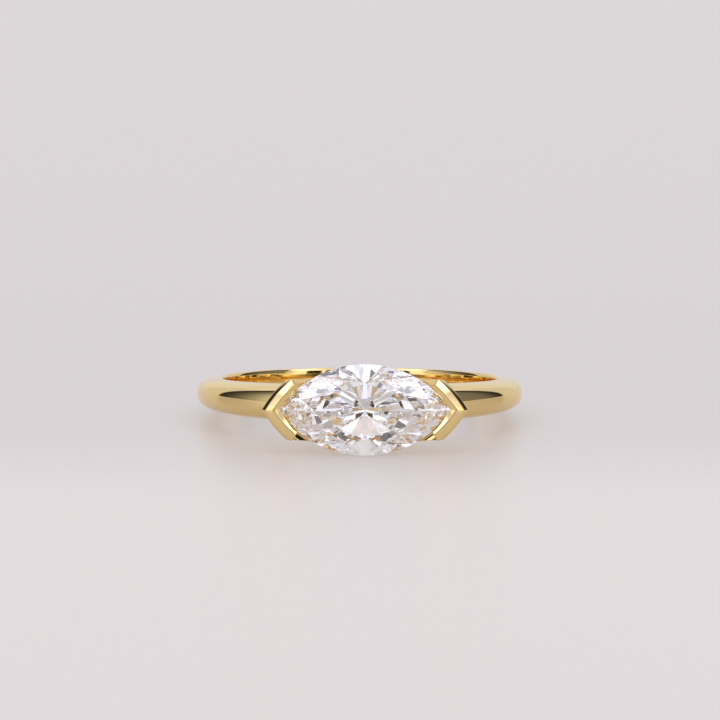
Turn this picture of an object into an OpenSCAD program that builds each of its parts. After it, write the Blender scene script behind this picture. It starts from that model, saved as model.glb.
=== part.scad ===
// Solitaire ring with a marquise stone set across the finger.
// Two V-shaped half bezels, cast in one piece with the band, hold the stone by its points.
// The ring lies on its side on the XY plane, with the stone facing -Y and the finger hole almost upright.

/* [Band] */
// Inside diameter, for the finger
finger_d = 16.9; // [15:0.1:20]
// Thickness of the band, from the finger to the top of its dome
band_t = 1.55; // [1.3:0.05:2]
// Width of the band beside the head
head_side_w = 2.3; // [2:0.05:2.6]
// Width of the band halfway round the finger
band_w = 1.85; // [1.6:0.05:2.1]
// Width of the band at the back of the finger
back_w = 1.75; // [1.4:0.05:2]
// Depth of the comfort bevel on the band's two inner edges
band_edge = 0.14; // [0.06:0.02:0.2]
// How far the comfort bevel reaches across the inside of the band
edge_h = 0.25; // [0.1:0.05:0.5]
// Fullness of the domed outside, where 2 is an ellipse
dome_power = 2.5; // [2:0.1:3]

/* [Stone] */
// Length from point to point
stone_l = 10.2; // [9:0.1:11]
// Width at the belly
stone_w = 5.4; // [4.8:0.1:6]
// Thickness of the girdle at the corners of its facets
girdle_t = 0.14; // [0.1:0.02:0.2]
// Height of the crown above the girdle
crown_h = 0.85; // [0.6:0.05:1]
// Depth of the pavilion below the girdle
pavilion_h = 2.3; // [2:0.05:2.5]
// Length of the table, as a share of the stone's length
table_l_share = 0.58; // [0.5:0.01:0.62]
// Width of the table, as a share of the stone's width
table_w_share = 0.6; // [0.5:0.01:0.62]
// Slope of the star facets, in degrees
star_slope = 17; // [15:1:20]
// Reach of the lower girdle facets from the girdle to the culet
lower_reach = 0.86; // [0.6:0.02:0.9]

/* [Head] */
// Distance from the finger's centre to the middle of the girdle
girdle_reach = 12.9; // [12:0.1:13.5]
// From the stone's edge out to the walls of the V tips
tip_wall = 0.86; // [0.7:0.02:0.9]
// From the stone's edge out to the ridge along the V tips
tip_ridge = 0.24; // [0.1:0.02:0.3]
// How far the V tips lap over the stone's edge
tip_lap = 0.1; // [0.06:0.02:0.14]
// Height of the ridge above the middle of the girdle
ridge_h = 0.36; // [0.3:0.02:0.5]
// Height of the outer edge of the V tips above the middle of the girdle
tip_edge_h = 0; // [0:0.02:0.16]
// How far the flat cut along the outer edge of the V tips reaches up their slope
slope_cut = 0.24; // [0.1:0.02:0.3]
// How far the same cut reaches down their walls
wall_cut = 0.16; // [0.1:0.02:0.3]
// Half width of the gallery at the ends of its rails
rail_y = 1.84; // [1.7:0.02:2]
// How much further out the rails bow in the middle
rail_bow = 0.14; // [0.05:0.01:0.2]
// Top of the rails, below the middle of the girdle
rail_drop = 0.14; // [0.1:0.02:0.3]
// Inward lean of the gallery's long sides towards the finger, in degrees
side_draft = 6.5; // [4:0.5:8]
// Inward lean of the V-shaped ends towards the finger, in degrees
end_draft = 9; // [5:0.5:12]
// Where the V tips end, measured along the ring at the stone's edge
tip_end_x = 3.92; // [3.7:0.02:4.1]
// Half length of the light hole under the stone
light_l = 3.2; // [2.6:0.1:3.6]
// Half width of the light hole under the stone
light_w = 0.85; // [0.6:0.05:1]
// Air between the metal and the stone in its seat
seat_gap = 0.04; // [0.03:0.01:0.06]

/* [Hidden] */

gold = "#d6b164";
diamond = "#eef1f4";

finger_r = finger_d / 2;
dome_r = finger_r + band_t;
edge_r = finger_r + band_edge;

// The stone's outline is two arcs that meet in its points
arc_r = (stone_l * stone_l + stone_w * stone_w) / (4 * stone_w);
arc_off = arc_r - stone_w / 2;

girdle_top = girdle_t / 2;
table_z = girdle_top + crown_h;

// Larger than the whole ring, for cuts that pass right through it
big = 40;
// A little more than a cut needs to clear a face
clear = 1;
arc_fn = 180;
bore_fn = 180;

// Sections round the band and points along half of its dome
band_steps = 80;
dome_steps = 7;
// The section ends this far inside its edges, within the finger hole that is cut later
inside_step = 0.22;

// The head starts inside the finger hole, which trims it
head_bottom = finger_r - girdle_reach - clear;
// Foot of the slope inside the V tips, just over the stone's edge
lap_rise = 0.06;
lap_h = girdle_top + lap_rise;
// Run of the V tips' cut ends along the ring, for each step across it
end_slope = 0.6;
// How far off the ring's long axis the V tips' ends are measured, as a share of the stone's width
end_share = 0.22;
end_from = tip_end_x - end_slope * stone_w * end_share;

// Band width at an angle round the finger: 0 is the right side, 90 the back and 270 the head
function width_at(a) =
    let(front = -sin(a), turn = (head_side_w - back_w) / 2, swell = (head_side_w + back_w) / 2 - band_w)
    band_w + turn * front + swell * front * front;

// One section of the band, as distance from the finger's axis and height along it
function dome_point(w, f) =
    [edge_r + (dome_r - edge_r) * pow(sin(f), 2 / dome_power), w / 2 * pow(cos(f), 2 / dome_power)];
function section(w) = let(inside_h = w / 2 - inside_step * edge_h / band_edge) concat(
    [[edge_r - inside_step, inside_h]],
    [for (i = [0 : dome_steps]) dome_point(w, 90 * i / dome_steps)],
    [for (i = [dome_steps - 1 : -1 : 0]) let(p = dome_point(w, 90 * i / dome_steps)) [p.x, -p.y]],
    [[edge_r - inside_step, -inside_h]]);

// How far the back of the band reaches below its middle when the ring leans by an angle
function back_reach(lean) =
    let(m = dome_power / (dome_power - 1), a = back_w / 2 * cos(lean), b = (dome_r - edge_r) * sin(lean))
    edge_r * sin(lean) + pow(pow(a, m) + pow(b, m), 1 / m);

// The ring rests on the stone's belly and on the back of the band
belly_reach = girdle_reach - girdle_top;
function next_lean(lean) =
    atan((stone_w / 2 - (back_reach(lean) - edge_r * sin(lean)) / cos(lean)) / (belly_reach + edge_r));
function rest_lean(lean, tries) = tries == 0 ? lean : rest_lean(next_lean(lean), tries - 1);
first_guess = 5;
rounds = 6;
lean = rest_lean(first_guess, rounds);
lift = back_reach(lean);
front_reach = (girdle_reach + table_z) * cos(lean) + stone_w * table_w_share / 2 * sin(lean);
back_extent = dome_r * cos(lean);
centre_y = (front_reach - back_extent) / 2;

// Corners of the facets stand round the outline: 0 and 8 are the points, 4 and 12 the belly.
// Each function takes the gap g by which the form is grown, which is 0 for the stone itself.
function point_lean(g) = acos(arc_off / (arc_r + g));
function lean_at(k, g) = point_lean(g) * (k <= 8 ? 1 - k / 4 : k / 4 - 3);
function side_of(k) = k <= 8 ? 1 : -1;
function outline(k, g) =
    [(arc_r + g) * sin(lean_at(k, g)), side_of(k) * ((arc_r + g) * cos(lean_at(k, g)) - arc_off), 0];
function facing(k) =
    k == 0 ? 0 : k == 8 ? 180 : atan2(side_of(k) * cos(lean_at(k, 0)), sin(lean_at(k, 0)));
function flat_normal(k) = [cos(facing(k)), sin(facing(k)), 0];

// How far each table corner lies inside the outline: at the points, at the belly and between them
point_inset = stone_l * (1 - table_l_share) / 2;
belly_inset = stone_w * (1 - table_w_share) / 2;
quarter_share = 1.1;
quarter_inset = belly_inset * quarter_share;
function inset_at(k) = k % 8 == 0 ? point_inset : k % 8 == 4 ? belly_inset : quarter_inset;

// Heights, and the corners of the table, the culet and both edges of the girdle
function top_at(g) = girdle_top + g;
function culet(g) = [0, 0, -top_at(g) - pavilion_h];
function table_corner(k, g) = outline(k, g) - flat_normal(k) * inset_at(k) + [0, 0, top_at(g) + crown_h];
function top_edge(k, g) = outline(k, g) + [0, 0, top_at(g)];
function low_edge(k, g) = outline(k, g) - [0, 0, top_at(g)];

// Normal of the plane through three points, the point where three planes meet, and a height on a plane
function normal(p, q, r) = let(n = cross(q - p, r - p)) n / norm(n);
function meet(n1, p1, n2, p2, n3, p3) =
    (cross(n2, n3) * (n1 * p1) + cross(n3, n1) * (n2 * p2) + cross(n1, n2) * (n3 * p3))
    / (n1 * cross(n2, n3));
function on_plane(p, n, q) = [p.x, p.y, q.z - (n.x * (p.x - q.x) + n.y * (p.y - q.y)) / n.z];

// Kites of the crown and main facets of the pavilion lie square to the outline at the even corners
function along(k) = [-sin(facing(k)), cos(facing(k)), 0];
function kite(k, g) = normal(top_edge(k, g), table_corner(k, g), top_edge(k, g) + along(k));
function main_facet(k, g) = normal(low_edge(k, g), culet(g), low_edge(k, g) + along(k));

// A star lies between two table corners, at its own slope
function star(k, g) =
    let(
        side = table_corner((k + 1) % 16, g) - table_corner(k - 1, g),
        out = [side.y, -side.x, 0] / norm(side))
    [out.x * sin(star_slope), out.y * sin(star_slope), cos(star_slope)];

// The outer corner of each star, and the inner end of each pair of lower girdle facets
function star_foot(k, g) =
    let(a = k - 1, b = (k + 1) % 16)
    meet(kite(a, g), top_edge(a, g), kite(b, g), top_edge(b, g), star(k, g), table_corner(a, g));
function lower_foot(k, g) =
    let(a = k - 1, b = (k + 1) % 16)
    meet(main_facet(a, g), culet(g), main_facet(b, g), culet(g),
        [0, 0, 1], [0, 0, -top_at(g) - pavilion_h * lower_reach]);

// The girdle is drawn in short chords, and its two edges follow the facets above and below
chords = 3;
function nearest_odd(k) = 2 * floor(k / 2) + 1;
function girdle_high(i, g) =
    let(k = i / chords, o = nearest_odd(k), e = k < o ? o - 1 : (o + 1) % 16, p = outline(k, g))
    i % chords == 0
        ? top_edge(k, g)
        : on_plane(p, normal(star_foot(o, g), top_edge(o, g), top_edge(e, g)), top_edge(o, g));
function girdle_low(i, g) =
    let(k = i / chords, o = nearest_odd(k), e = k < o ? o - 1 : (o + 1) % 16, p = outline(k, g))
    i % chords == 0
        ? low_edge(k, g)
        : on_plane(p, normal(lower_foot(o, g), low_edge(o, g), low_edge(e, g)), low_edge(o, g));

// What two equal turned forms share, each centred on one of the outline's arcs
module lens() {
    intersection() {
        translate([0, -arc_off, 0]) children();
        translate([0, arc_off, 0]) children();
    }
}

// The stone, or with a gap the seat that is cut for it.
// Points: table corners, stars' feet, lower feet, girdle's high edge, its low edge, culet.
module brilliant(g) {
    steps = 16 * chords;
    span = 2 * chords;
    stars = 8;
    feet = 16;
    high = 24;
    low = high + steps;
    tip = low + steps;
    points = concat(
        [for (k = [0 : 2 : 14]) table_corner(k, g)],
        [for (k = [1 : 2 : 15]) star_foot(k, g)],
        [for (k = [1 : 2 : 15]) lower_foot(k, g)],
        [for (i = [0 : steps - 1]) girdle_high(i, g)],
        [for (i = [0 : steps - 1]) girdle_low(i, g)],
        [culet(g)]);
    polyhedron(points, concat(
        [[for (j = [7 : -1 : 0]) j]],
        [for (j = [0 : 7]) [j, (j + 1) % 8, stars + j]],
        [for (j = [0 : 7]) [j, stars + j, high + span * j, stars + (j + 7) % 8]],
        [for (j = [0 : 7]) [stars + j, for (i = [chords : -1 : 0]) high + span * j + i]],
        [for (j = [0 : 7]) [stars + j, for (i = [span : -1 : chords]) high + (span * j + i) % steps]],
        [for (i = [0 : steps - 1]) [high + i, high + (i + 1) % steps, low + (i + 1) % steps, low + i]],
        [for (j = [0 : 7]) [feet + j, for (i = [0 : chords]) low + span * j + i]],
        [for (j = [0 : 7]) [feet + j, for (i = [chords : span]) low + (span * j + i) % steps]],
        [for (j = [0 : 7]) [tip, feet + (j + 7) % 8, low + span * j, feet + j]]));
}

// From the stone's own axes to the ring's: the table faces -Y and the points lie along X
module at_girdle() {
    translate([0, -girdle_reach, 0])
        rotate([90, 0, 0])
            children();
}

// Laid down on its side
module at_rest() {
    translate([0, centre_y, lift])
        rotate([-lean, 0, 0])
            children();
}

// The tapered, domed band, left full on the inside until the finger hole is cut
module band() {
    points = [for (i = [0 : band_steps - 1])
        let(a = 360 * i / band_steps)
        for (p = section(width_at(a))) [p.x * cos(a), p.x * sin(a), p.y]];
    n = len(section(band_w));
    corners = [for (i = [0 : band_steps - 1]) for (j = [0 : n - 1])
        let(a = i * n, b = (i + 1) % band_steps * n, k = (j + 1) % n)
        [a + j, a + k, b + k, b + j]];
    polyhedron(points, [for (c = corners) each [[c[0], c[2], c[1]], [c[0], c[3], c[2]]]]);
}

// Walls and sloping tops of the V tips, turned round the same centres as the stone's outline
module tip_block() {
    foot = -head_bottom * tan(end_draft);
    edge = [arc_r + tip_wall, tip_edge_h];
    ridge = [arc_r + tip_ridge, ridge_h];
    lens()
        rotate_extrude($fn = arc_fn)
            polygon([
                [0, head_bottom],
                [edge.x - foot, head_bottom],
                edge - wall_cut * [sin(end_draft), cos(end_draft)],
                edge + slope_cut * (ridge - edge) / norm(ridge - edge),
                ridge,
                [0, ridge_h]]);
}

// The long sides of the head, bowed and leaning in towards the finger
module side_limits() {
    bow_r = (tip_end_x * tip_end_x + rail_bow * rail_bow) / (2 * rail_bow);
    centre = bow_r - rail_y - rail_bow;
    intersection() {
        bowed_side(centre, bow_r);
        mirror([0, 1, 0]) bowed_side(centre, bow_r);
    }
}
module bowed_side(centre, bow_r) {
    translate([0, -centre, head_bottom])
        cylinder(
            r1 = bow_r + head_bottom * tan(side_draft),
            r2 = bow_r + ridge_h * tan(side_draft),
            h = ridge_h - head_bottom,
            $fn = 2 * arc_fn);
}

// The bright-cut slope inside the V tips, down to the stone
module inner_slope() {
    lens()
        rotate_extrude($fn = arc_fn)
            polygon([
                [0, lap_h],
                [arc_r - tip_lap, lap_h],
                [arc_r + tip_ridge, ridge_h],
                [arc_r + tip_ridge, ridge_h + clear],
                [0, ridge_h + clear]]);
}

// The open stretch between the V tips, down to the rails
module open_sides() {
    wide = rail_y + clear;
    far = end_from + end_slope * wide;
    translate([0, 0, -rail_drop])
        linear_extrude(height = ridge_h + clear)
            polygon([
                [-end_from, 0], [-far, wide], [far, wide],
                [end_from, 0], [far, -wide], [-far, -wide]]);
}

// The opening under the stone, through to the finger
module light_hole() {
    translate([0, 0, head_bottom - clear])
        linear_extrude(height = clear - head_bottom)
            polygon([
                [light_l, 0], [light_l - light_w, light_w], [light_w - light_l, light_w],
                [-light_l, 0], [light_w - light_l, -light_w], [light_l - light_w, -light_w]]);
}

// The metal of the head, before the finger hole is cut
module head() {
    difference() {
        intersection() {
            tip_block();
            side_limits();
        }
        inner_slope();
        open_sides();
        brilliant(seat_gap);
        light_hole();
    }
}

// Band and head, cast in one piece
module ring_mount() {
    color(gold)
        at_rest()
            difference() {
                union() {
                    band();
                    at_girdle() head();
                }
                translate([0, 0, -big / 2])
                    cylinder(r = finger_r, h = big, $fn = bore_fn);
                at_girdle() brilliant(seat_gap);
                at_girdle() light_hole();
            }
}

// The cut stone
module marquise_stone() {
    color(diamond)
        at_rest()
            at_girdle()
                brilliant(0);
}

ring_mount();
marquise_stone();
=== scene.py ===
"""Solitaire ring in polished yellow gold: a marquise diamond set across the finger between two V tips."""

import math
from collections import Counter
from types import SimpleNamespace

import bpy
from bpy.props import FloatProperty, FloatVectorProperty, IntProperty, PointerProperty
from mathutils import Matrix, Vector


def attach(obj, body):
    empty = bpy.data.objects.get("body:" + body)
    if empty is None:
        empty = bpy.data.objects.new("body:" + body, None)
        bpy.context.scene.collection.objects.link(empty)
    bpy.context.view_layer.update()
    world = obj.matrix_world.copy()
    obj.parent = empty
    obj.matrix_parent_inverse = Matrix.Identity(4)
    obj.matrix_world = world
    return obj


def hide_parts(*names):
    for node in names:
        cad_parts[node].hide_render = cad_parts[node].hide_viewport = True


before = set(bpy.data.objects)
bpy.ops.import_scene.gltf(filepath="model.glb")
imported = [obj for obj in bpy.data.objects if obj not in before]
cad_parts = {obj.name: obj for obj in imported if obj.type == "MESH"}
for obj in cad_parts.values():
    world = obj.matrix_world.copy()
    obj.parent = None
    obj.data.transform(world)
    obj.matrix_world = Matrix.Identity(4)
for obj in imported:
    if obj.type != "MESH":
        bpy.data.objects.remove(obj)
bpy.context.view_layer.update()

bl_info = {
    "name": "Marquise Half Bezel Ring",
    "version": (1, 0, 0),
    "blender": (4, 5, 0),
    "location": "View3D > Sidebar > Ring",
    "description": "Builds a yellow gold ring with a marquise diamond held by two V tips",
    "category": "Add Mesh",
}

# The shapes are worked in millimetres and scaled to metres when each piece is finished
MM = 0.001


def linear(hex_colour):
    """An sRGB hex colour as linear red, green and blue."""
    parts = [int(hex_colour[i : i + 2], 16) / 255 for i in (1, 3, 5)]
    return tuple(p / 12.92 if p <= 0.04045 else ((p + 0.055) / 1.055) ** 2.4 for p in parts)


def length(name, description, default):
    """A size given in millimetres."""
    return FloatProperty(
        name=name, description=description, default=default * MM, unit="LENGTH", precision=5
    )


def angle(name, description, default):
    """An angle given in degrees."""
    return FloatProperty(
        name=name, description=description, default=math.radians(default), subtype="ANGLE"
    )


def share(name, description, default):
    """A share of some other size."""
    return FloatProperty(
        name=name, description=description, default=default, subtype="FACTOR", min=0, max=2
    )


def colour(name, description, default):
    """A colour given as sRGB hex."""
    return FloatVectorProperty(
        name=name, description=description, default=linear(default), subtype="COLOR", size=3
    )


class BandSizes(bpy.types.PropertyGroup):
    """Sizes of the finger band"""

    finger_d: length("Finger hole", "Inside diameter of the band", 16.9)
    band_t: length("Thickness", "From the finger to the top of the dome", 1.55)
    head_side_w: length("Width at the head", "Width of the band beside the head", 2.3)
    band_w: length("Width halfway", "Width of the band halfway round", 1.85)
    back_w: length("Width at the back", "Width of the band at the back of the finger", 1.75)
    band_edge: length("Inner edge", "How deep the comfort rounding of the inner edges goes", 0.14)
    edge_h: length("Inner edge height", "How far the comfort rounding reaches across the inside", 0.25)
    inner_bow: length("Inner bow", "How far the inside bulges towards the finger", 0.022)
    dome_power: FloatProperty(
        name="Dome fullness", description="2 is an ellipse", default=2.5, min=2, max=4
    )


class StoneSizes(bpy.types.PropertyGroup):
    """Sizes of the marquise diamond"""

    stone_l: length("Length", "From point to point", 10.2)
    stone_w: length("Width", "Across the belly", 5.4)
    girdle_t: length("Girdle", "Thickness of the girdle at the facet corners", 0.14)
    crown_h: length("Crown height", "From the girdle to the table", 0.85)
    pavilion_h: length("Pavilion depth", "From the girdle to the culet", 2.3)
    table_l_share: share("Table length", "As a share of the stone's length", 0.58)
    table_w_share: share("Table width", "As a share of the stone's width", 0.6)
    quarter_share: share("Quarter inset", "Inset of the table beside its belly, to that at the belly", 1.1)
    star_slope: angle("Star slope", "Slope of the star facets", 17)
    lower_reach: share("Lower facets", "Reach of the lower girdle facets to the culet", 0.86)
    chords: IntProperty(
        name="Girdle chords", description="Short chords for each facet of the girdle", default=5
    )


class HeadSizes(bpy.types.PropertyGroup):
    """Sizes of the head that holds the stone"""

    girdle_reach: length("Girdle reach", "From the finger's centre to the girdle", 12.9)
    tip_wall: length("Tip wall", "From the stone's edge to the walls of the V tips", 0.86)
    tip_ridge: length("Tip ridge", "From the stone's edge to the ridge of the V tips", 0.24)
    tip_lap: length("Tip lap", "How far the V tips lap over the stone", 0.1)
    ridge_h: length("Ridge height", "Height of the ridge above the girdle", 0.36)
    tip_edge_h: length("Tip edge height", "Height of the outer edge above the girdle", 0.0)
    rail_y: length("Rail half width", "Half width of the gallery at the ends of its rails", 1.84)
    rail_bow: length("Rail bow", "How much further out the rails bow in the middle", 0.14)
    rail_drop: length("Rail drop", "Top of the rails below the girdle", 0.14)
    side_draft: angle("Side draft", "Inward lean of the long sides towards the finger", 6.5)
    end_draft: angle("End draft", "Inward lean of the V ends towards the finger", 9)
    tip_end_x: length("Tip end", "Where the V tips end, along the ring", 3.92)
    light_l: length("Light hole length", "Half length of the hole under the stone", 3.2)
    light_w: length("Light hole width", "Half width of the hole under the stone", 0.85)
    seat_gap: length("Seat gap", "Air between the metal and the stone", 0.04)
    lap_rise: length("Lap rise", "Foot of the slope inside the V tips above the girdle's edge", 0.06)
    end_share: share("End place", "Off the long axis where Tip end is taken, to the stone's width", 0.22)
    end_slope: share("End slope", "Run of the V tips' ends along the ring, for each step across it", 0.6)
    slope_cut: length("Slope cut", "Reach of the flat cut on the V tips' outer edge, up their slope", 0.24)
    wall_cut: length("Wall cut", "Reach of the same cut down their walls", 0.16)
    ridge_round: length("Ridge round", "How far the ridge of the V tips is rounded", 0.09)
    soft_edge: length("Edge softening", "Width of the polished bevel on the head's edges", 0.035)


class RingColours(bpy.types.PropertyGroup):
    """Colours of the finishes"""

    gold: colour("Gold", "14 carat yellow gold", "#F9DE9F")
    gold_worn: colour("Gold, second tone", "The slightly warmer tone that drifts through it", "#F7DA97")
    diamond: colour("Diamond", "Colourless", "#FFFFFF")
    # The floor's colour also colours its painted glow, which lightens the ring's shade on it and warms it
    floor: colour("Floor", "Opal acrylic table top", "#9D9794")


def in_mm(group):
    """The values of a group, with lengths in millimetres."""
    values = {}
    for name, prop in group.bl_rna.properties.items():
        if name in ("rna_type", "name"):
            continue
        value = getattr(group, name)
        values[name] = value / MM if prop.unit == "LENGTH" else value
    return values


def sizes():
    """Every size of the ring in millimetres, with the values that follow from them."""
    scene = bpy.context.scene
    s = SimpleNamespace(**in_mm(scene.band_sizes), **in_mm(scene.stone_sizes), **in_mm(scene.head_sizes))
    s.finger_r = s.finger_d / 2
    s.dome_r = s.finger_r + s.band_t
    s.edge_r = s.finger_r + s.band_edge
    s.arc_r = (s.stone_l**2 + s.stone_w**2) / (4 * s.stone_w)
    s.arc_off = s.arc_r - s.stone_w / 2
    s.girdle_top = s.girdle_t / 2
    s.lean = rest_lean(s)
    s.lift = back_reach(s, s.lean)
    front = (s.girdle_reach + s.girdle_top + s.crown_h) * math.cos(s.lean)
    front += s.stone_w * s.table_w_share / 2 * math.sin(s.lean)
    s.centre_y = (front - s.dome_r * math.cos(s.lean)) / 2
    return s


def back_reach(s, lean):
    """How far the back of the band reaches below its middle when the ring leans."""
    m = s.dome_power / (s.dome_power - 1)
    a = s.back_w / 2 * math.cos(lean)
    b = (s.dome_r - s.edge_r) * math.sin(lean)
    return s.edge_r * math.sin(lean) + (a**m + b**m) ** (1 / m)


def rest_lean(s, first_guess=5, rounds=8):
    """The lean at which the ring rests on the stone's belly and on the back of the band."""
    lean = math.radians(first_guess)
    for _ in range(rounds):
        rise = (back_reach(s, lean) - s.edge_r * math.sin(lean)) / math.cos(lean)
        lean = math.atan((s.stone_w / 2 - rise) / (s.girdle_reach - s.girdle_top + s.edge_r))
    return lean


def ring_place(s):
    """From the ring's own axes, with the finger along Z, to its place at rest."""
    return Matrix.Translation((0, s.centre_y, s.lift)) @ Matrix.Rotation(-s.lean, 4, "X")


def girdle_place(s):
    """From the stone's own axes to the ring's: the table faces -Y and the points lie along X."""
    return Matrix.Translation((0, -s.girdle_reach, 0)) @ Matrix.Rotation(math.radians(90), 4, "X")


def pick(obj):
    """Makes an object the only one selected, and the active one."""
    bpy.ops.object.select_all(action="DESELECT")
    obj.select_set(True)
    bpy.context.view_layer.objects.active = obj
    return obj


def place(obj, matrix):
    """Puts an object in its place and leaves that place in its mesh."""
    pick(obj)
    obj.matrix_world = matrix
    bpy.ops.object.transform_apply(location=True, rotation=True, scale=True)


def outward():
    """In edit mode: turns every face outwards."""
    bpy.ops.mesh.select_all(action="SELECT")
    bpy.ops.mesh.normals_make_consistent(inside=False)


def turned(levels, centre_y=0, sides=160):
    """A turned solid: a filled circle drawn up through levels of radius and height."""
    radius, height = levels[0]
    bpy.ops.object.select_all(action="DESELECT")
    bpy.ops.mesh.primitive_circle_add(
        vertices=sides, radius=radius, fill_type="NGON", location=(0, centre_y, height)
    )
    obj = bpy.context.object
    bpy.ops.object.transform_apply(location=True)
    bpy.ops.object.mode_set(mode="EDIT")
    bpy.ops.mesh.select_all(action="SELECT")
    for new_radius, new_height in levels[1:]:
        rise = (0, 0, new_height - height)
        bpy.ops.mesh.extrude_region_move(TRANSFORM_OT_translate={"value": rise})
        if new_radius != radius:
            grow = new_radius / radius
            bpy.ops.transform.resize(value=(grow, grow, 1), center_override=(0, centre_y, new_height))
        radius, height = new_radius, new_height
    outward()
    bpy.ops.object.mode_set(mode="OBJECT")
    return obj


def block(half_x, half_y, low, high):
    """A block about the stone's middle, as a start for cuts."""
    bpy.ops.object.select_all(action="DESELECT")
    bpy.ops.mesh.primitive_cube_add(size=2, location=(0, 0, (low + high) / 2))
    obj = bpy.context.object
    obj.scale = (half_x, half_y, (high - low) / 2)
    bpy.ops.object.transform_apply(location=True, scale=True)
    return obj


def cut_planes(obj, planes, threshold=1e-5):
    """Keeps what lies behind every plane, given as point and normal, and closes each cut with a face."""
    pick(obj)
    bpy.ops.object.mode_set(mode="EDIT")
    for point, facing in planes:
        bpy.ops.mesh.select_all(action="SELECT")
        bpy.ops.mesh.bisect(
            plane_co=point, plane_no=facing, use_fill=True, clear_outer=True, threshold=threshold
        )
    outward()
    bpy.ops.object.mode_set(mode="OBJECT")


def closed(obj):
    """Whether a mesh has faces, and two of them at every edge."""
    uses = Counter(key for face in obj.data.polygons for key in face.edge_keys)
    return bool(uses) and all(count == 2 for count in uses.values())


def combine(obj, other, operation):
    """Joins, cuts or intersects an object with another, which is used up."""
    pick(obj)
    step = obj.modifiers.new("combine", "BOOLEAN")
    step.object, step.operation, step.solver = other, operation, "EXACT"
    bpy.ops.object.modifier_apply(modifier=step.name)
    bpy.data.objects.remove(other)
    if not closed(obj):
        raise RuntimeError(f"{obj.name} is empty or open after {operation}")
    return obj


# The stone

def stone_planes(s, gap):
    """The planes of the brilliant's facets and of its girdle, each moved out by the gap."""
    top = s.girdle_top
    tip_lean = math.acos(s.arc_off / s.arc_r)
    up = Vector((0, 0, 1))
    culet = Vector((0, 0, -top - s.pavilion_h))

    def outline(k, z):
        """A point of the outline: 0 and 8 are the points of the marquise, 4 and 12 its belly."""
        turn = tip_lean * (1 - k / 4 if k <= 8 else k / 4 - 3)
        side = 1 if k <= 8 else -1
        return Vector((s.arc_r * math.sin(turn), side * (s.arc_r * math.cos(turn) - s.arc_off), z))

    def square(k):
        """The level direction square to the outline."""
        if k % 8 == 0:
            return Vector((1 if k == 0 else -1, 0, 0))
        p = outline(k, 0)
        return Vector((p.x, p.y + math.copysign(s.arc_off, p.y), 0)).normalized()

    def table_corner(k):
        """A corner of the table, inside the outline."""
        inset = s.stone_l * (1 - s.table_l_share) / 2
        if k % 8:
            inset = s.stone_w * (1 - s.table_w_share) / 2 * (1 if k % 8 == 4 else s.quarter_share)
        return outline(k, top + s.crown_h) - square(k) * inset

    def through(p, q, r):
        """The plane through three points, facing away from the stone's middle."""
        facing = (q - p).cross(r - p).normalized()
        return p, facing if facing.dot(p) > 0 else -facing

    def meet(*planes):
        """The point that three planes share."""
        (p1, n1), (p2, n2), (p3, n3) = planes
        a, b, c = n2.cross(n3), n3.cross(n1), n1.cross(n2)
        return (a * n1.dot(p1) + b * n2.dot(p2) + c * n3.dot(p3)) / n1.dot(a)

    def kite(k):
        """A large facet of the crown."""
        p = outline(k, top)
        return through(p, table_corner(k), p + up.cross(square(k)))

    def main_facet(k):
        """A large facet of the pavilion."""
        p = outline(k, -top)
        return through(p, culet, p + up.cross(square(k)))

    planes = [(Vector((0, 0, top + s.crown_h)), up)]
    steps = 16 * s.chords
    for i in range(steps):
        p, q = outline(i / s.chords, 0), outline((i + 1) % steps / s.chords, 0)
        planes.append(through(p, q, p + up))
    evens = range(0, 16, 2)
    planes += [kite(k) for k in evens] + [main_facet(k) for k in evens]
    for odd in range(1, 16, 2):
        a, b = odd - 1, (odd + 1) % 16
        side = table_corner(b) - table_corner(a)
        out = side.cross(up).normalized()
        star = (table_corner(a), out * math.sin(s.star_slope) + up * math.cos(s.star_slope))
        star_foot = meet(kite(a), kite(b), star)
        level = (Vector((0, 0, -top - s.pavilion_h * s.lower_reach)), up)
        lower_foot = meet(main_facet(a), main_facet(b), level)
        planes.append(star)
        for even in (a, b):
            planes.append(through(star_foot, outline(odd, top), outline(even, top)))
            planes.append(through(lower_foot, outline(odd, -top), outline(even, -top)))
    return [(p + n * gap, n) for p, n in planes]


def brilliant(s, gap=0.0):
    """The cut stone in its own axes, or with a gap the form of its seat."""
    rough = block(s.stone_l, s.stone_w, -2 * s.pavilion_h, 2 * s.crown_h)
    cut_planes(rough, stone_planes(s, gap))
    if not closed(rough):
        raise RuntimeError("the cuts left the stone open, so its sizes don't fit together")
    return rough


# The gold

# Edges of the mount that turn by more than this stay crisp
SMOOTH_BELOW = math.radians(40)


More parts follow.
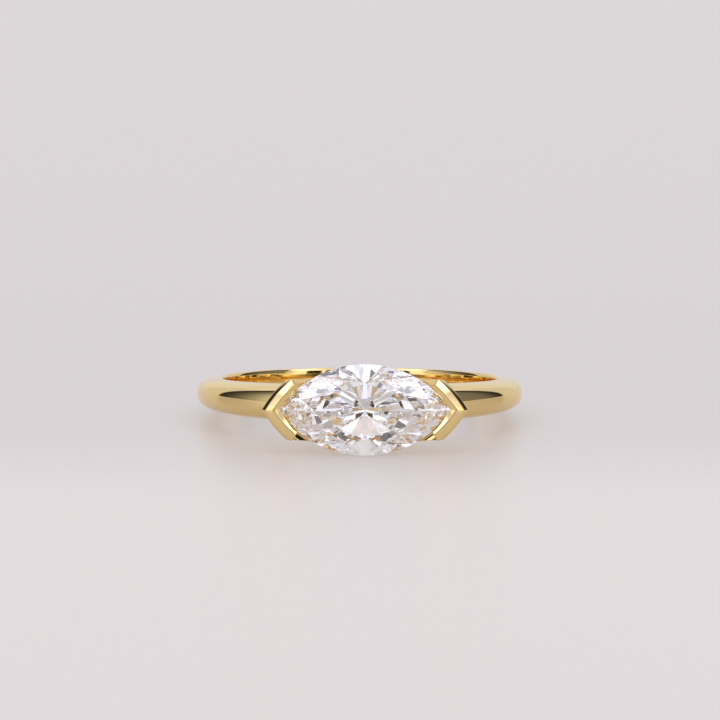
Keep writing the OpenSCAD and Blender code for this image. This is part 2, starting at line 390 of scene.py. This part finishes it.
def band(s, sections=288, dome_steps=20, edge_steps=8, bore_steps=6):
    """The tapered, domed band: one rounded D, spun round the finger and narrowed towards the back."""
    half = s.band_w / 2
    outer = []
    for i in range(dome_steps + 1):
        turn = math.pi / 2 * i / dome_steps
        r = s.edge_r + (s.dome_r - s.edge_r) * math.sin(turn) ** (2 / s.dome_power)
        outer.append((r, half * math.cos(turn) ** (2 / s.dome_power)))
    inner = []
    edge_depth = s.band_edge - s.inner_bow
    for i in range(1, edge_steps + 1):
        turn = math.pi / 2 * i / edge_steps
        inner.append((s.edge_r - edge_depth * math.sin(turn), half - s.edge_h * (1 - math.cos(turn))))
    for i in range(1, bore_steps):
        f = 1 - i / bore_steps
        inner.append((s.finger_r + s.inner_bow * f * f, (half - s.edge_h) * f))
    quarter = inner[::-1] + outer
    loop = quarter + [(r, -z) for r, z in quarter[-2::-1]] + [(s.finger_r, 0)]
    bpy.ops.object.select_all(action="DESELECT")
    bpy.ops.mesh.primitive_circle_add(vertices=len(loop), radius=1)
    obj = bpy.context.object
    obj.name = "gold_mount"
    for vertex, (r, z) in zip(obj.data.vertices, loop):
        vertex.co = (r, 0, z)
    bpy.ops.object.mode_set(mode="EDIT")
    bpy.ops.mesh.select_all(action="SELECT")
    bpy.ops.mesh.spin(steps=sections, angle=math.tau, center=(0, 0, 0), axis=(0, 0, 1))
    bpy.ops.mesh.select_all(action="SELECT")
    bpy.ops.mesh.remove_doubles(threshold=1e-4)
    outward()
    bpy.ops.object.mode_set(mode="OBJECT")
    turn = (s.head_side_w - s.back_w) / 2
    swell = (s.head_side_w + s.back_w) / 2 - s.band_w
    for vertex in obj.data.vertices:
        front = -vertex.co.y / math.hypot(vertex.co.x, vertex.co.y)
        vertex.co.z *= (s.band_w + turn * front + swell * front**2) / s.band_w
    return obj


def tip_levels(s, bottom):
    """Half the section of a V tip, as radius and height, from its foot over the ridge to the stone."""
    wall = Vector((s.tip_wall, s.tip_edge_h))
    ridge = Vector((s.tip_ridge, s.ridge_h))
    lap = Vector((-s.tip_lap, s.girdle_top + s.lap_rise))
    foot = Vector((s.tip_wall + bottom * math.tan(s.end_draft), bottom))
    points = [foot]
    # Each corner is rounded from a way back on the line before it to a way forth on the line after it
    for before, corner, after, back, forth, steps in (
        (foot, wall, ridge, s.wall_cut, s.slope_cut, 1),
        (wall, ridge, lap, s.ridge_round, s.ridge_round, 3),
        (ridge, lap, Vector((-s.arc_r, lap.y)), s.soft_edge / 2, s.soft_edge / 2, 1),
    ):
        start = corner + (before - corner).normalized() * back
        end = corner + (after - corner).normalized() * forth
        for i in range(steps + 1):
            f = i / steps
            points.append(start * (1 - f) ** 2 + corner * 2 * f * (1 - f) + end * f * f)
    return [(s.arc_r + p.x, p.y) for p in points]


def head(s, clear=0.6, wide=30, bore_gap=0.015):
    """The gallery with its V tips and rails, in the stone's own axes: one quarter, mirrored twice."""
    bottom = s.finger_r - s.girdle_reach - clear
    quarter = turned(tip_levels(s, bottom), -s.arc_off)
    cut_planes(quarter, [(Vector(), Vector((0, -1, 0))), (Vector(), Vector((-1, 0, 0)))])
    bow_r = (s.tip_end_x**2 + s.rail_bow**2) / (2 * s.rail_bow)
    levels = [
        (bow_r + z * math.tan(s.side_draft), z) for z in (bottom - clear, s.ridge_h + clear)
    ]
    sides = turned(levels, s.rail_y + s.rail_bow - bow_r, sides=1440)
    combine(quarter, sides, "INTERSECT")
    middle = s.tip_end_x - s.end_slope * s.stone_w * s.end_share
    opening = block(wide, wide, -s.rail_drop, s.ridge_h + clear)
    cut_planes(opening, [(Vector((middle, 0, 0)), Vector((1, -s.end_slope, 0)).normalized())])
    combine(quarter, opening, "DIFFERENCE")
    # Just wider than the band's own hole, so that the two faces don't fall in one
    bore = turned([(s.finger_r + bore_gap, -wide), (s.finger_r + bore_gap, wide)], sides=720)
    place(bore, girdle_place(s).inverted())
    combine(quarter, bore, "DIFFERENCE")
    soften(quarter, s)
    for axis in range(2):
        twin = quarter.modifiers.new("twin", "MIRROR")
        twin.use_axis = [axis == 0, axis == 1, False]
        twin.use_clip, twin.merge_threshold = True, 1e-4
        bpy.ops.object.modifier_apply(modifier=twin.name)
    return quarter


def soften(quarter, s, merge=0.005, near=0.006, sharp=24):
    """Rounds the cut edges of a quarter of the head a little, as polishing leaves them."""
    pick(quarter)
    bpy.ops.object.mode_set(mode="EDIT")
    bpy.ops.mesh.select_all(action="SELECT")
    bpy.ops.mesh.remove_doubles(threshold=merge)
    # For the quarters to join, what lies on the planes of symmetry is put right on them,
    # and the cut faces there go
    bpy.ops.mesh.select_all(action="DESELECT")
    bpy.ops.object.mode_set(mode="OBJECT")
    for vertex in quarter.data.vertices:
        x, y, z = vertex.co
        vertex.co = (0 if abs(x) < near else x, 0 if abs(y) < near else y, z)
    for face in quarter.data.polygons:
        corners = [quarter.data.vertices[i].co for i in face.vertices]
        face.select = all(co.x == 0 for co in corners) or all(co.y == 0 for co in corners)
    bpy.ops.object.mode_set(mode="EDIT")
    bpy.ops.mesh.delete(type="FACE")
    bpy.ops.mesh.select_mode(type="EDGE")
    bpy.ops.mesh.edges_select_sharp(sharpness=math.radians(sharp))
    bpy.ops.mesh.bevel(offset=s.soft_edge, segments=3, clamp_overlap=False)
    bpy.ops.mesh.select_mode(type="VERT")
    bpy.ops.object.mode_set(mode="OBJECT")


def light_hole(s, deep=6):
    """The opening under the stone, through to the finger."""
    hole = block(s.light_l, s.light_w, -deep, -s.girdle_top)
    corners = [(x, y) for x in (-1, 1) for y in (-1, 1)]
    cut_planes(hole, [(Vector((x * s.light_l, 0, 0)), Vector((x, y, 0)).normalized()) for x, y in corners])
    return hole


# The finishes

# Painted light that the table top gives off itself, which lightens the ring's shade on it: under the ring,
# and before it from this far on, in mm
PAINTED_FLOOR_LIGHT = 0.9
# Stronger before the ring: painted light that brightens the floor below the stone
PAINTED_NEAR_LIGHT = 1.14
NEAR_Y = -28


def add(tree, kind, settings=None, inputs=None):
    """Adds a node: each input is a value, or the socket of another node that feeds it."""
    node = tree.nodes.new(kind)
    for name, value in (settings or {}).items():
        setattr(node, name, value)
    for name, value in (inputs or {}).items():
        if isinstance(value, bpy.types.NodeSocket):
            tree.links.new(value, node.inputs[name])
        else:
            node.inputs[name].default_value = value
    return node


def maths(tree, operation, *values):
    """The result of one sum on sockets or numbers."""
    inputs = dict(enumerate(values))
    return add(tree, "ShaderNodeMath", {"operation": operation}, inputs).outputs[0]


def ramp(tree, value, source, target):
    """A smooth step of a socket from one range to another."""
    node = add(tree, "ShaderNodeMapRange", {"interpolation_type": "SMOOTHSTEP"}, {
        "Value": value, "From Min": source[0], "From Max": source[1],
        "To Min": target[0], "To Max": target[1],
    })
    return node.outputs[0]


def mix(tree, data_type, factor, first, second):
    """A mix of two numbers or colours, each a value or a socket."""
    slot, result = {"FLOAT": (2, 0), "RGBA": (6, 2)}[data_type]
    inputs = {0: factor, slot: first, slot + 1: second}
    return add(tree, "ShaderNodeMix", {"data_type": data_type}, inputs).outputs[result]


def blank(name):
    """A new material with an empty node tree, and its output."""
    material = bpy.data.materials.new(name)
    material.use_nodes = True
    material.node_tree.nodes.clear()
    return material, material.node_tree, add(material.node_tree, "ShaderNodeOutputMaterial")


def polished_gold(colours):
    """14 carat yellow gold, cast and polished on a felt wheel: a mirror with the faintest drag lines."""
    material, tree, output = blank("polished_yellow_gold")
    place_of = add(tree, "ShaderNodeTexCoord").outputs["Object"]
    # Clouds of tone a few millimetres wide
    clouds = add(tree, "ShaderNodeTexNoise", inputs={
        "Vector": place_of, "Scale": 1 / (4 * MM), "Detail": 2.0,
    })
    tone = mix(tree, "RGBA", clouds.outputs["Fac"], (*colours.gold, 1), (*colours.gold_worn, 1))
    # Polishing drag, about 0.05 mm across
    drag = add(tree, "ShaderNodeTexNoise", inputs={
        "Vector": place_of, "Scale": 1 / (0.05 * MM), "Detail": 3.0,
    })
    rough = add(tree, "ShaderNodeMapRange", inputs={
        "Value": drag.outputs["Fac"], "From Min": 0.3, "From Max": 0.7, "To Min": 0.035, "To Max": 0.075,
    })
    bump = add(tree, "ShaderNodeBump", inputs={
        "Height": drag.outputs["Fac"], "Strength": 0.02, "Distance": 0.01 * MM,
    })
    metal = add(tree, "ShaderNodeBsdfPrincipled", inputs={
        "Base Color": tone, "Metallic": 1.0, "Roughness": rough.outputs["Result"],
        "Normal": bump.outputs["Normal"],
    })
    tree.links.new(metal.outputs["BSDF"], output.inputs["Surface"])
    return material


def polished_diamond(colours):
    """Colourless diamond with polished facets: clear, with a very high refraction that gives its fire."""
    material, tree, output = blank("polished_diamond")
    glass = add(tree, "ShaderNodeBsdfPrincipled", inputs={
        "Base Color": (*colours.diamond, 1), "Metallic": 0.0, "Roughness": 0.015, "IOR": 2.417,
        "Transmission Weight": 1.0,
    })
    tree.links.new(glass.outputs["BSDF"], output.inputs["Surface"])
    return material


def pale_tabletop(colours):
    """Opal acrylic, cast, with painted light: a pale field that glows to lighten the ring's shade on it,
    more so towards the camera, with a soft, weak reflection of the ring.
    """
    material, tree, output = blank("opal_acrylic_painted_glow")
    place_of = add(tree, "ShaderNodeTexCoord").outputs["Object"]
    depth = add(tree, "ShaderNodeSeparateXYZ", inputs={"Vector": place_of}).outputs["Y"]
    # Painted light: the table top's own glow, stronger towards the camera
    painted_glow = ramp(tree, depth, (NEAR_Y * MM, 0), (PAINTED_NEAR_LIGHT, PAINTED_FLOOR_LIGHT))
    surface = add(tree, "ShaderNodeBsdfPrincipled", inputs={
        "Base Color": (*colours.floor, 1), "Roughness": 0.35, "IOR": 1.45,
        "Emission Color": (*colours.floor, 1), "Emission Strength": painted_glow,
    })
    tree.links.new(surface.outputs["BSDF"], output.inputs["Surface"])
    return material


def finish_piece(obj, name, place_matrix, material, node):
    """Names a piece, puts it in metres and in its place, and ties it to the frame."""
    obj.name = obj.data.name = name
    place(obj, Matrix.Scale(MM, 4) @ place_matrix)
    obj.data.materials.clear()
    obj.data.materials.append(material)
    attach(obj, "root")
    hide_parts(node)


class RING_OT_mount(bpy.types.Operator):
    """Builds the band, the gallery and the V tips in one gold piece"""

    bl_idname = "ring.mount"
    bl_label = "Gold Mount"

    def execute(self, context):
        s = sizes()
        tips = head(s)
        place(tips, girdle_place(s))
        mount = combine(band(s), tips, "UNION")
        for cutter in (brilliant(s, s.seat_gap), light_hole(s)):
            place(cutter, girdle_place(s))
            combine(mount, cutter, "DIFFERENCE")
        bpy.ops.object.shade_smooth_by_angle(angle=SMOOTH_BELOW)
        even = mount.modifiers.new("even_normals", "WEIGHTED_NORMAL")
        even.keep_sharp = True
        bpy.ops.object.modifier_apply(modifier=even.name)
        material = polished_gold(context.scene.ring_colours)
        finish_piece(mount, "gold_mount", ring_place(s), material, "ring_mount")
        return {"FINISHED"}


class RING_OT_stone(bpy.types.Operator):
    """Cuts the marquise diamond"""

    bl_idname = "ring.stone"
    bl_label = "Marquise Diamond"

    def execute(self, context):
        s = sizes()
        stone = brilliant(s)
        seat = ring_place(s) @ girdle_place(s)
        material = polished_diamond(context.scene.ring_colours)
        finish_piece(stone, "cut_diamond", seat, material, "marquise_stone")
        return {"FINISHED"}


# The stage

# Cards and lights round the ring, each flat and far off. A later one lies over those before it.
# Azimuth 0 is the camera's side and 90 the ring's right, in degrees.
# Left, right, bottom and top are shares of the card's distance.
# The two brightnesses are at its left and right.
CARDS = (
    # azimuth, elevation, left, right, bottom, top, edge, brightness left, brightness right
    # White cards overhead, on the camera's side and low behind the ring
    (0, 90, -0.85, 0.85, -0.85, 0.85, 0.3, 0.86, 0.86),
    (0, 0, -1.6, 1.6, -1.0, 1.0, 0.5, 1.28, 1.28),
    (180, 25, -0.6, 0.6, -0.35, 0.45, 0.3, 0.8, 0.8),
    # Flags behind both sides, whose dark edges draw the strips along the band
    (-118, 0, -0.04, 1.5, -2.0, 1.45, 0.06, 0.03, 0.75),
    (118, 0, -1.3, 0.04, -2.0, 1.28, 0.06, 0.22, 0.17),
    (118, 0, -0.4, 0.04, -2.0, 1.28, 0.06, 0.17, 0.02),
    # Two soft lights, for the bright slopes of the V tips
    (-60, 48, -0.16, 0.16, -0.24, 0.2, 0.06, 2.3, 2.3),
    (60, 48, -0.16, 0.16, -0.24, 0.2, 0.06, 2.3, 2.3),
    # Dark cards round the camera and the camera itself, for contrast in the stone
    (-26, 10, -0.14, 0.14, -0.4, 0.4, 0.05, 0.01, 0.01),
    (20, 10, -0.14, 0.14, -0.4, 0.4, 0.05, 0.01, 0.01),
    (-1.4, 6, -0.2, 0.2, -0.1, 0.1, 0.05, 0.3, 0.3),
    (-1.4, 1.5, -0.07, 0.07, -0.07, 0.07, 0.03, 0.02, 0.02),
    (-38, 8, -0.12, 0.12, -0.2, 0.2, 0.05, 0.01, 0.01),
    (38, 8, -0.12, 0.12, -0.2, 0.2, 0.05, 0.01, 0.01),
)
# The light between them
BASE_LIGHT = 0.70
# Light from above is a little cooler: from the first height on, as a sine of elevation, fully at the second
OVERHEAD_TINT = (1.0, 1.01, 1.17, 1)
COOL_HEIGHTS = (0.15, 0.55)


def studio_world():
    """A pale studio by direction: white cards, dark ones at the sides and the camera, two soft lights."""
    world = bpy.data.worlds.new("pale_studio")
    bpy.context.scene.world = world
    world.use_nodes = True
    tree = world.node_tree
    tree.nodes.clear()
    direction = add(tree, "ShaderNodeTexCoord").outputs["Generated"]
    light = BASE_LIGHT
    for azimuth, elevation, left, right, bottom, top, edge, dim, bright in CARDS:
        turn, rise = math.radians(azimuth), math.radians(elevation)
        facing = Vector((math.sin(turn) * math.cos(rise), -math.cos(turn) * math.cos(rise), math.sin(rise)))
        across = Vector((math.cos(turn), math.sin(turn), 0))
        parts = [
            add(tree, "ShaderNodeVectorMath", {"operation": "DOT_PRODUCT"}, {0: direction, 1: axis})
            for axis in (facing, across, across.cross(facing) * -1)
        ]
        ahead, sideways, upwards = [part.outputs["Value"] for part in parts]
        depth = maths(tree, "MAXIMUM", ahead, 0.001)
        spread = maths(tree, "DIVIDE", sideways, depth)
        climb = maths(tree, "DIVIDE", upwards, depth)
        past = []
        for source, low, high in ((spread, left, right), (climb, bottom, top)):
            off = maths(tree, "ABSOLUTE", maths(tree, "SUBTRACT", source, (low + high) / 2))
            past.append(maths(tree, "SUBTRACT", off, (high - low) / 2))
        mask = ramp(tree, maths(tree, "MAXIMUM", *past), (-edge / 2, edge / 2), (1, 0))
        shade = ramp(tree, spread, (left, right), (dim, bright))
        light = mix(tree, "FLOAT", mask, light, shade)
    height = add(tree, "ShaderNodeSeparateXYZ", inputs={"Vector": direction}).outputs["Z"]
    coolness = ramp(tree, height, COOL_HEIGHTS, (0, 1))
    tint = mix(tree, "RGBA", coolness, (1, 1, 1, 1), OVERHEAD_TINT)
    background = add(tree, "ShaderNodeBackground", inputs={"Color": tint, "Strength": light})
    output = add(tree, "ShaderNodeOutputWorld")
    tree.links.new(background.outputs[0], output.inputs["Surface"])


def camera(s):
    """The camera at the photograph's angle: nearly level, a little to the side."""
    yaw, rise, roll = math.radians(1.4), math.radians(4.25) + s.lean, math.radians(0.24)
    # In mm, and in pixels of a picture 720 wide
    distance, shift_right, shift_up, sensor = 300, 0.018, 1.988, 36
    focal_px, picture = 4875, 720
    view = Vector((math.sin(yaw) * math.cos(rise), math.cos(yaw) * math.cos(rise), -math.sin(rise)))
    right = Vector((math.cos(yaw), -math.sin(yaw), 0))
    up = right.cross(view)
    level = right
    right = level * math.cos(roll) + up * math.sin(roll)
    up = up * math.cos(roll) - level * math.sin(roll)
    centre = Vector((0, s.centre_y, s.lift))
    data = bpy.data.cameras.new("camera")
    data.sensor_width = sensor
    data.lens = focal_px * sensor / picture
    data.clip_start, data.clip_end = 0.01, 20
    obj = bpy.data.objects.new("camera", data)
    bpy.context.scene.collection.objects.link(obj)
    obj.location = (centre + right * shift_right + up * shift_up - view * distance) * MM
    obj.rotation_mode = "QUATERNION"
    obj.rotation_quaternion = Matrix((right, up, -view)).transposed().to_quaternion()
    bpy.context.scene.camera = obj


class RING_OT_stage(bpy.types.Operator):
    """Sets the pale floor, the studio light and the camera"""

    bl_idname = "ring.stage"
    bl_label = "Stage"

    def execute(self, context):
        # In metres: the table top ends beyond the picture's edges
        radius, thick = 1.4, 0.02
        bpy.ops.object.select_all(action="DESELECT")
        bpy.ops.mesh.primitive_circle_add(
            vertices=128, radius=radius, fill_type="NGON", location=(0, 0, -thick)
        )
        floor = context.object
        floor.name = "floor"
        bpy.ops.object.transform_apply(location=True)
        bpy.ops.object.mode_set(mode="EDIT")
        bpy.ops.mesh.select_all(action="SELECT")
        bpy.ops.mesh.extrude_region_move(TRANSFORM_OT_translate={"value": (0, 0, thick)})
        outward()
        bpy.ops.object.mode_set(mode="OBJECT")
        floor.data.materials.append(pale_tabletop(context.scene.ring_colours))
        studio_world()
        camera(sizes())
        scene = context.scene
        scene.view_settings.view_transform = "Standard"
        # Light turns many times inside the stone before it leaves
        scene.cycles.max_bounces = 48
        scene.cycles.transmission_bounces = 48
        scene.cycles.glossy_bounces = 48
        scene.cycles.diffuse_bounces = 4
        scene.cycles.sample_clamp_indirect = 8
        return {"FINISHED"}


class RING_PT_panel(bpy.types.Panel):
    """Sizes, colours and build buttons of the ring"""

    bl_idname = "RING_PT_panel"
    bl_label = "Marquise Ring"
    bl_space_type = "VIEW_3D"
    bl_region_type = "UI"
    bl_category = "Ring"

    def draw(self, context):
        for name in GROUPS:
            box = self.layout.box()
            box.label(text=name.replace("_", " ").capitalize())
            group = getattr(context.scene, name)
            for prop in group.bl_rna.properties.keys():
                if prop not in ("rna_type", "name"):
                    box.prop(group, prop)
        for operator in OPERATORS:
            self.layout.operator(operator.bl_idname)


GROUPS = {
    "band_sizes": BandSizes,
    "stone_sizes": StoneSizes,
    "head_sizes": HeadSizes,
    "ring_colours": RingColours,
}
OPERATORS = (RING_OT_stage, RING_OT_mount, RING_OT_stone)
CLASSES = (*GROUPS.values(), *OPERATORS, RING_PT_panel)


def register():
    """Adds the classes, and the sizes and colours to the scene."""
    for cls in CLASSES:
        bpy.utils.register_class(cls)
    for name, group in GROUPS.items():
        setattr(bpy.types.Scene, name, PointerProperty(type=group))


def unregister():
    """Takes them away again."""
    for name in GROUPS:
        delattr(bpy.types.Scene, name)
    for cls in reversed(CLASSES):
        bpy.utils.unregister_class(cls)


def main():
    """Builds the stage and the ring."""
    register()
    bpy.ops.ring.stage()
    bpy.ops.ring.mount()
    bpy.ops.ring.stone()


if __name__ == "__main__":
    main()
